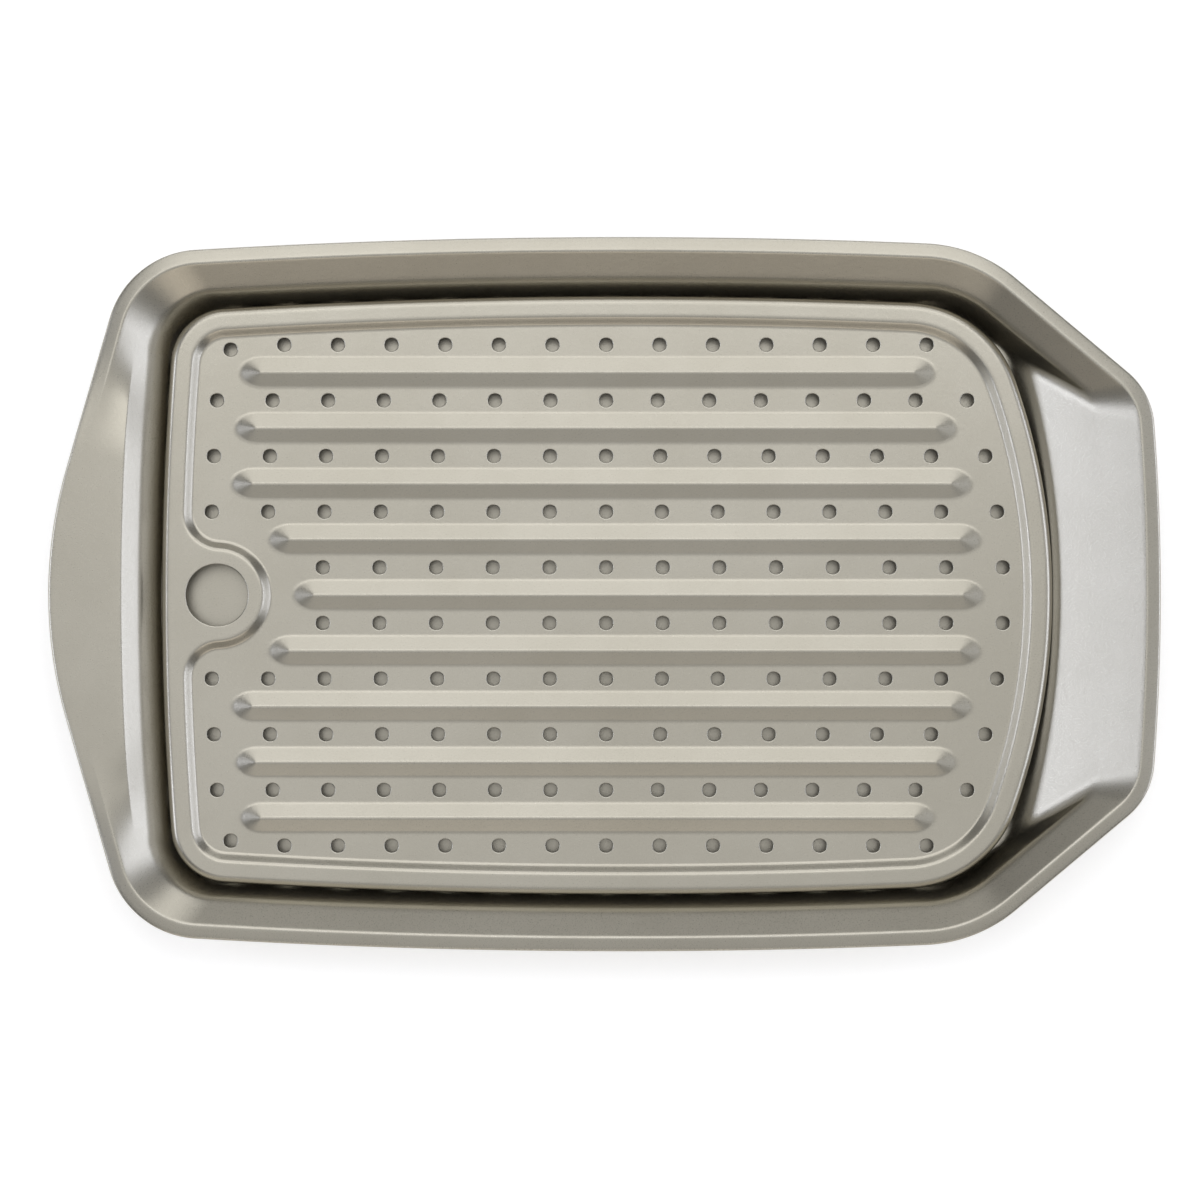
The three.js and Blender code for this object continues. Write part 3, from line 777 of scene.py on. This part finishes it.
    def drain_centres(self) -> np.ndarray:
        """Works out the drain holes' places: rows between the ribs, spread evenly from a middle hole.

        Returns:
            Plan points.
        """
        y = self.rows(self.rib_count + 1)
        to_x = self.ramp_line(self.drain_ramp_inset, self.drain_ramp_radius, y)
        from_x = self.handle_line(self.drain_handle_inset, self.drain_handle_radius, y)
        outermost = [0, -1]
        to_x[outermost] -= self.drain_ramp_corner
        from_x[outermost] += self.drain_handle_corner
        from_x = np.where(np.abs(y) < self.rib_pitch, self.tab_line(self.drain_tab_distance, y), from_x)
        rows = []
        for start, stop, across in zip(from_x, to_x, y):
            before = round((self.drain_centre_x - start) / self.drain_pitch)
            after = round((stop - self.drain_centre_x) / self.drain_pitch)
            left = np.linspace(start, self.drain_centre_x, before + 1)
            right = np.linspace(self.drain_centre_x, stop, after + 1)[1:]
            x = np.concatenate([left, right])
            rows.append(np.column_stack([x, np.full(len(x), across)]))
        for row in outermost:
            rows[row][0, 1] -= math.copysign(self.drain_corner_drop, y[row])
        return np.vstack(rows)

    def hole_rings(self, centres: np.ndarray, diameter: float, lip: float, columns: int) -> np.ndarray:
        """Works out round holes through a level sheet: rounded lip, upright wall, less rounded lower edge.

        A ring point is the hole's centre plus a profile distance * (cos, sin), lifted by the profile.

        Args:
            centres: Centre and upper level of each hole, as (holes, 3).
            diameter: Width of the hole.
            lip: Radius of the rounded upper edge.
            columns: Points round each hole.

        Returns:
            Rings from the upper face through the hole to the lower face, as (holes, rings, columns, 3).
        """
        radius = diameter / 2
        guard = radius + self.hole_guard_share * lip
        corners = [(guard, 0), (radius, 0), (radius, -self.sheet), (guard, -self.sheet)]
        profile = flat_profile(corners, (lip, self.hole_foot_share * lip), self.bend_steps - 1)
        angle = 2 * math.pi * np.arange(columns) / columns
        shape = (len(centres), len(profile), columns)
        spread = profile[None, :, 0, None]
        x = centres[:, 0, None, None] + spread * np.cos(angle)
        y = centres[:, 1, None, None] + spread * np.sin(angle)
        z = np.broadcast_to(centres[:, 2, None, None] + profile[None, :, 1, None], shape)
        return np.stack([x, y, z], axis=-1)

    def build(self) -> bpy.types.Object:
        """Builds the sheet: patches for edge, step, ribs and holes, joined by flat fills on both faces.

        Returns:
            The tray's object.
        """
        draft = MeshDraft()
        places = at_level(self.drain_centres(), self.field)
        drains = self.hole_rings(places, self.drain_diameter, self.drain_lip, self.drain_columns)
        place = np.array([[self.finger_x, 0.0, self.rim]])
        finger = self.hole_rings(place, self.finger_diameter, self.finger_lip, self.finger_columns)
        drain_ids = draft.add(drains, bend_share(drains))
        finger_ids = draft.add(finger, bend_share(finger))
        draft.bands(drain_ids)
        draft.bands(finger_ids)
        upper, lower = {}, {}
        patches = {"edge": self.edge_rings(), "step": self.step_rings(), "ribs": self.rib_rings()}
        for name, grid in patches.items():
            upper[name] = draft.add(grid, bend_share(grid))
            lower[name] = draft.add(grid - self.sheet * upward_normals(grid))
            draft.bands(upper[name])
            draft.bands(lower[name], down=True)
        draft.bands(np.stack([upper["edge"][0], lower["edge"][0]]), down=True)
        for ids, hole_row, down in ((upper, 0, False), (lower, -1, True)):
            rim_loops = [ids["edge"][-1], ids["step"][0], finger_ids[0, hole_row]]
            field_loops = [ids["step"][-1], *ids["ribs"][:, 0], *drain_ids[:, hole_row]]
            draft.face(flat_triangles(draft.plan(), rim_loops), down)
            draft.face(flat_triangles(draft.plan(), field_loops), down)
            draft.face(ids["ribs"][:, -1], down)
        return draft.write("tray_shell")

    def dress(self, piece: bpy.types.Object, coat: bpy.types.Material) -> None:
        """Gives the tray its coat and its place in the assembly."""
        piece.data.materials.append(coat)
        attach(piece, Body.TRAY.value)
        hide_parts("crisper_tray")


# Finishes


FLOAT = "NodeSocketFloat"
COLOUR = "NodeSocketColor"
FLAKE_HEIGHT = 0.35
FLAKE_RANGE = (0.3, 0.7)
MOTTLE_SHARE = 0.5
DRIFT_RANGE = (0.45, 1.05)
RUB_RANGE = (0.12, 0.6)
WHOLE_RANGE = (0.0, 1.0)


def set_inputs(node: bpy.types.Node, values: dict[str, float | Colour]) -> None:
    """Sets a node's inputs by name."""
    for name, value in values.items():
        node.inputs[name].default_value = value


class NodeSheet:
    """A node tree with short ways to add and link nodes."""

    def __init__(self, tree: bpy.types.NodeTree) -> None:
        """Works on one tree."""
        self.tree = tree

    def add(self, kind: str, **settings: object) -> bpy.types.Node:
        """Adds a node of a kind and sets its properties."""
        node = self.tree.nodes.new(kind)
        for name, value in settings.items():
            setattr(node, name, value)
        return node

    def group(self, tree: bpy.types.NodeTree, values: dict[str, float | Colour]) -> bpy.types.Node:
        """Places a node group with its own values."""
        node = self.add("ShaderNodeGroup", node_tree=tree)
        set_inputs(node, values)
        return node

    def feed(self, source: Socket | float | Colour, target: Socket) -> None:
        """Links a socket to another, or sets its value."""
        if isinstance(source, Socket):
            self.tree.links.new(source, target)
        else:
            target.default_value = source

    def maths(self, operation: str, *values: Socket | float) -> Socket:
        """The result of a sum on sockets or numbers."""
        node = self.add("ShaderNodeMath", operation=operation)
        for value, socket in zip(values, node.inputs):
            self.feed(value, socket)
        return node.outputs[0]

    def noise(self, scale: Socket, detail: float) -> Socket:
        """Noise on the piece's own coordinates."""
        place = self.add("ShaderNodeTexCoord")
        node = self.add("ShaderNodeTexNoise")
        self.feed(place.outputs["Object"], node.inputs["Vector"])
        self.feed(scale, node.inputs["Scale"])
        self.feed(detail, node.inputs["Detail"])
        return node.outputs["Fac"]

    def spread(self, value: Socket, source: Range, target: Range) -> Socket:
        """A value moved smoothly from one range to another."""
        node = self.add("ShaderNodeMapRange", interpolation_type="SMOOTHSTEP")
        set_inputs(node, {"From Min": source[0], "From Max": source[1]})
        set_inputs(node, {"To Min": target[0], "To Max": target[1]})
        self.feed(value, node.inputs["Value"])
        return node.outputs["Result"]

    def mix(self, share: Socket, first: Socket, second: Socket) -> Socket:
        """A mix of two colours."""
        node = self.add("ShaderNodeMix", data_type="RGBA")
        inputs = {socket.identifier: socket for socket in node.inputs}
        for name, source in (("Factor_Float", share), ("A_Color", first), ("B_Color", second)):
            self.feed(source, inputs[name])
        return next(socket for socket in node.outputs if socket.identifier == "Result_Color")


def new_material(name: str) -> tuple[bpy.types.Material, NodeSheet, bpy.types.Node]:
    """A new material, its sheet and its shader."""
    made = bpy.data.materials.new(name)
    made.use_nodes = True
    return made, NodeSheet(made.node_tree), made.node_tree.nodes["Principled BSDF"]


def new_group(
    name: str, inputs: dict[str, str], outputs: dict[str, str]
) -> tuple[NodeSheet, dict[str, Socket], dict[str, Socket]]:
    """Starts a shader node group with named sockets.

    Args:
        name: The group's name.
        inputs: Socket types by name.
        outputs: Socket types by name.

    Returns:
        The group's sheet, its inner input sockets and its inner output sockets.
    """
    tree = bpy.data.node_groups.new(name, "ShaderNodeTree")
    for socket, kind in inputs.items():
        tree.interface.new_socket(socket, in_out="INPUT", socket_type=kind)
    for socket, kind in outputs.items():
        tree.interface.new_socket(socket, in_out="OUTPUT", socket_type=kind)
    sheet = NodeSheet(tree)
    entry = sheet.add("NodeGroupInput").outputs
    leave = sheet.add("NodeGroupOutput").inputs
    given = {socket: entry[socket] for socket in inputs}
    result = {socket: leave[socket] for socket in outputs}
    return sheet, given, result


def coat_grain_group() -> bpy.types.NodeTree:
    """A group for metal flakes and the slight waviness of a sprayed coat."""
    sheet, given, result = new_group(
        "coat_grain", {"Flake Scale": FLOAT, "Peel Scale": FLOAT}, {"Height": FLOAT, "Flake": FLOAT}
    )
    flake = sheet.noise(given["Flake Scale"], detail=2.0)
    peel = sheet.noise(given["Peel Scale"], detail=1.0)
    sheet.feed(sheet.maths("MULTIPLY_ADD", flake, FLAKE_HEIGHT, peel), result["Height"])
    sheet.feed(flake, result["Flake"])
    return sheet.tree


def tone_drift_group() -> bpy.types.NodeTree:
    """A group for a slow drift between two tones of the coat, with a faint finer mottle."""
    sheet, given, result = new_group(
        "tone_drift",
        {"Pale": COLOUR, "Deep": COLOUR, "Drift Scale": FLOAT, "Mottle Scale": FLOAT},
        {"Color": COLOUR},
    )
    drift = sheet.noise(given["Drift Scale"], detail=2.0)
    mottle = sheet.noise(given["Mottle Scale"], detail=3.0)
    joined = sheet.maths("MULTIPLY_ADD", mottle, MOTTLE_SHARE, drift)
    share = sheet.spread(joined, DRIFT_RANGE, WHOLE_RANGE)
    sheet.feed(sheet.mix(share, given["Pale"], given["Deep"]), result["Color"])
    return sheet.tree


def rubbed_edge_group() -> bpy.types.NodeTree:
    """A group for edges that handling has polished: the bulge of the sheet, broken up by a noise."""
    sheet, given, result = new_group(
        "rubbed_edge",
        {"Color": COLOUR, "Rubbed": COLOUR, "Edge": FLOAT, "Break Scale": FLOAT},
        {"Color": COLOUR, "Mask": FLOAT},
    )
    broken = sheet.noise(given["Break Scale"], detail=4.0)
    mask = sheet.spread(sheet.maths("MULTIPLY", given["Edge"], broken), RUB_RANGE, WHOLE_RANGE)
    sheet.feed(sheet.mix(mask, given["Color"], given["Rubbed"]), result["Color"])
    sheet.feed(mask, result["Mask"])
    return sheet.tree


@dataclass(frozen=True)
class CoatGroups:
    """The node groups that both coats share."""

    grain: bpy.types.NodeTree
    drift: bpy.types.NodeTree
    rubbed: bpy.types.NodeTree


@dataclass(frozen=True)
class SatinCoat:
    """A baked metallic nonstick coat. Scales are per metre."""

    name: str
    pale: Colour
    deep: Colour
    rubbed: Colour = (0.515, 0.495, 0.435, 1)
    metallic: float = 1.0
    roughness: Range = (0.27, 0.35)
    rubbed_roughness: float = -0.03
    flake_scale: float = 3200
    peel_scale: float = 650
    drift_scale: float = 9
    mottle_scale: float = 60
    break_scale: float = 120
    bump_strength: float = 0.06
    bump_distance: float = 0.0003

    def material(self, groups: CoatGroups) -> bpy.types.Material:
        """Builds the coat's material.

        Args:
            groups: The node groups that both coats share.

        Returns:
            The material.
        """
        made, sheet, shader = new_material(self.name)
        set_inputs(shader, {"Metallic": self.metallic})

        tones = {"Pale": self.pale, "Deep": self.deep}
        scales = {"Drift Scale": self.drift_scale, "Mottle Scale": self.mottle_scale}
        drift = sheet.group(groups.drift, tones | scales)

        rubbed = sheet.group(groups.rubbed, {"Rubbed": self.rubbed, "Break Scale": self.break_scale})
        edge = sheet.add("ShaderNodeAttribute", attribute_name=EDGE_LAYER)
        sheet.feed(edge.outputs["Fac"], rubbed.inputs["Edge"])
        sheet.feed(drift.outputs["Color"], rubbed.inputs["Color"])
        sheet.feed(rubbed.outputs["Color"], shader.inputs["Base Color"])

        sizes = {"Flake Scale": self.flake_scale, "Peel Scale": self.peel_scale}
        grain = sheet.group(groups.grain, sizes)
        coarse = sheet.spread(grain.outputs["Flake"], FLAKE_RANGE, self.roughness)
        polish = sheet.maths("MULTIPLY_ADD", rubbed.outputs["Mask"], self.rubbed_roughness, coarse)
        sheet.feed(polish, shader.inputs["Roughness"])

        bump = sheet.add("ShaderNodeBump")
        set_inputs(bump, {"Strength": self.bump_strength, "Distance": self.bump_distance})
        sheet.feed(grain.outputs["Height"], bump.inputs["Height"])
        sheet.feed(bump.outputs["Normal"], shader.inputs["Normal"])
        return made


# Studio


class Side(Enum):
    """The side of the pan that a lamp hangs on, as a direction in plan."""

    BACK = (0, 1)
    FRONT = (0, -1)
    LEFT = (-1, 0)
    RIGHT = (1, 0)


class Light(Enum):
    """The colours of the lamps."""

    PLAIN = (1.0, 1.0, 1.0)
    COOL = (0.95, 1.0, 1.16)
    WARM = (1.06, 0.97, 0.86)


@dataclass(frozen=True)
class SoftBox:
    """A soft rectangular lamp. Places and sizes in metres, level as the brightness of its face."""

    name: str
    place: tuple[float, float, float]
    size: tuple[float, float]
    level: float
    light: Light = Light.PLAIN

    @classmethod
    def leaning(
        cls, side: Side, lean: float, size: tuple[float, float], level: float, light: Light = Light.PLAIN
    ) -> "SoftBox":
        """Hangs a lamp on one side of the pan, at the same distance as all the others.

        Args:
            side: The side.
            lean: How far down from overhead it hangs, in degrees.
            size: Width and height.
            level: Brightness.
            light: Colour.

        Returns:
            The lamp.
        """
        angle = math.radians(lean)
        reach = LAMP_DISTANCE * math.sin(angle)
        place = (side.value[0] * reach, side.value[1] * reach, LAMP_DISTANCE * math.cos(angle))
        return cls(f"{side.name.lower()}_{lean:.0f}", place, size, level, light)

    def build(self, target: Vector) -> None:
        """Hangs the lamp so that it faces the target. Its power is level * pi * area."""
        data = bpy.data.lights.new(self.name, "AREA")
        data.shape = "RECTANGLE"
        data.size, data.size_y = self.size
        data.energy = self.level * math.pi * self.size[0] * self.size[1]
        data.color = self.light.value
        lamp = new_object(self.name, data)
        lamp.location = self.place
        lamp.rotation_euler = (target - lamp.location).to_track_quat("-Z", "Y").to_euler()
        lamp.visible_camera = False


@dataclass
class Studio:
    """A pale floor, soft lamps and a camera that looks straight down."""

    rim_height: float
    camera_place: tuple[float, float] = (-0.00186, -0.00236)
    camera_aside: float = 0.04
    camera_rise: float = 1.6
    view_width: float = 0.48
    sensor: float = 36
    floor_size: float = 12
    floor_colour: Colour = (0.86, 0.86, 0.86, 1)
    floor_glow: float = 0.45
    floor_roughness: float = 0.9
    floor_sheen: float = 0.1
    world_colour: Colour = (0.15, 0.15, 0.15, 1)
    lamps: tuple[SoftBox, ...] = (
        SoftBox("overhead", (0, 0, LAMP_DISTANCE), (0.6, 0.55), 0.68),
        SoftBox.leaning(Side.BACK, 22, (1.1, 0.5), 1.5),
        SoftBox.leaning(Side.BACK, 42, (1.5, 0.42), 1.1),
        SoftBox.leaning(Side.BACK, 60, (1.5, 0.42), 1.4),
        SoftBox.leaning(Side.FRONT, 22, (1.1, 0.5), 0.45),
        SoftBox.leaning(Side.FRONT, 42, (1.5, 0.42), 0.35),
        SoftBox.leaning(Side.FRONT, 60, (1.5, 0.42), 1.05, Light.WARM),
        SoftBox.leaning(Side.RIGHT, 22, (1.1, 0.5), 0.5),
        SoftBox.leaning(Side.RIGHT, 42, (1.5, 0.42), 0.4),
        SoftBox.leaning(Side.RIGHT, 60, (1.0, 0.42), 2.2, Light.COOL),
        SoftBox.leaning(Side.RIGHT, 78, (1.5, 0.42), 0.5),
        SoftBox.leaning(Side.LEFT, 22, (1.1, 0.5), 0.6),
        SoftBox.leaning(Side.LEFT, 53, (0.7, 0.36), 3.2, Light.COOL),
        SoftBox.leaning(Side.LEFT, 77, (1.5, 0.42), 1.0),
    )

    def build_floor(self) -> None:
        """Builds the floor, which glows a little to the eye and in reflections and keeps the shadow."""
        half = self.floor_size / 2
        mesh = bpy.data.meshes.new("floor")
        corners = np.array([[-1, -1, 0], [1, -1, 0], [1, 1, 0], [-1, 1, 0]]) * half
        mesh.from_pydata(corners.tolist(), [], [(0, 1, 2, 3)])
        floor = new_object("floor", mesh)
        paper, sheet, shader = new_material("floor_paper")
        set_inputs(shader, {"Base Color": self.floor_colour, "Emission Color": (1, 1, 1, 1)})
        set_inputs(shader, {"Roughness": self.floor_roughness, "Specular IOR Level": self.floor_sheen})
        rays = sheet.add("ShaderNodeLightPath").outputs
        seen = sheet.maths("MAXIMUM", rays["Is Camera Ray"], rays["Is Glossy Ray"])
        seen = sheet.maths("MAXIMUM", seen, rays["Is Transmission Ray"])
        sheet.feed(sheet.maths("MULTIPLY", seen, self.floor_glow), shader.inputs["Emission Strength"])
        mesh.materials.append(paper)

    def build_lights(self) -> None:
        """Hangs the lamps and sets an even world."""
        target = Vector((0, 0, self.rim_height))
        for lamp in self.lamps:
            lamp.build(target)
        world = bpy.data.worlds.new("studio_air")
        world.use_nodes = True
        set_inputs(world.node_tree.nodes["Background"], {"Color": self.world_colour})
        bpy.context.scene.world = world

    def build_camera(self) -> None:
        """Sets the camera above the rim, looking straight down, a little aside with its lens shifted."""
        data = bpy.data.cameras.new("camera")
        data.sensor_width = self.sensor
        data.lens = self.sensor * self.camera_rise / self.view_width
        data.shift_y = self.camera_aside / self.view_width
        camera = new_object("camera", data)
        across, along = self.camera_place
        camera.location = (across, along - self.camera_aside, self.rim_height + self.camera_rise)
        bpy.context.scene.camera = camera
        bpy.context.scene.view_settings.view_transform = "Standard"


# Assembly


def framed_pan() -> PressedPan:
    """The pan with its overall sizes from the frame."""
    low, high = (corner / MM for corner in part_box("pan_body"))
    return PressedPan(length=high.x - low.x, width=high.y - low.y, height=high.z - low.z)


def framed_tray() -> PerforatedTray:
    """The tray with its place from the frame."""
    low, high = (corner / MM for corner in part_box("crisper_tray"))
    return PerforatedTray(handle_x=low.x, ramp_x=high.x, half_width=high.y, foot=low.z, rim=high.z)


def main() -> None:
    """Builds the studio, the finishes and both pieces."""
    logging.basicConfig(level=logging.INFO, format="%(name)s: %(message)s")
    pan = framed_pan()
    tray = framed_tray()
    studio = Studio(rim_height=pan.height * MM)
    studio.build_camera()
    studio.build_floor()
    studio.build_lights()

    groups = CoatGroups(coat_grain_group(), tone_drift_group(), rubbed_edge_group())
    pan_coat = SatinCoat("pan_coat", pale=(0.50, 0.475, 0.41, 1), deep=(0.46, 0.435, 0.372, 1))
    tray_coat = SatinCoat("tray_coat", pale=(0.51, 0.485, 0.42, 1), deep=(0.47, 0.445, 0.38, 1))
    for sub_assembly, coat in ((pan, pan_coat), (tray, tray_coat)):
        piece = sub_assembly.build()
        sub_assembly.dress(piece, coat.material(groups))
        mesh = piece.data
        log.info("%s: %d points, %d faces", piece.name, len(mesh.vertices), len(mesh.polygons))


if __name__ == "__main__":
    main()
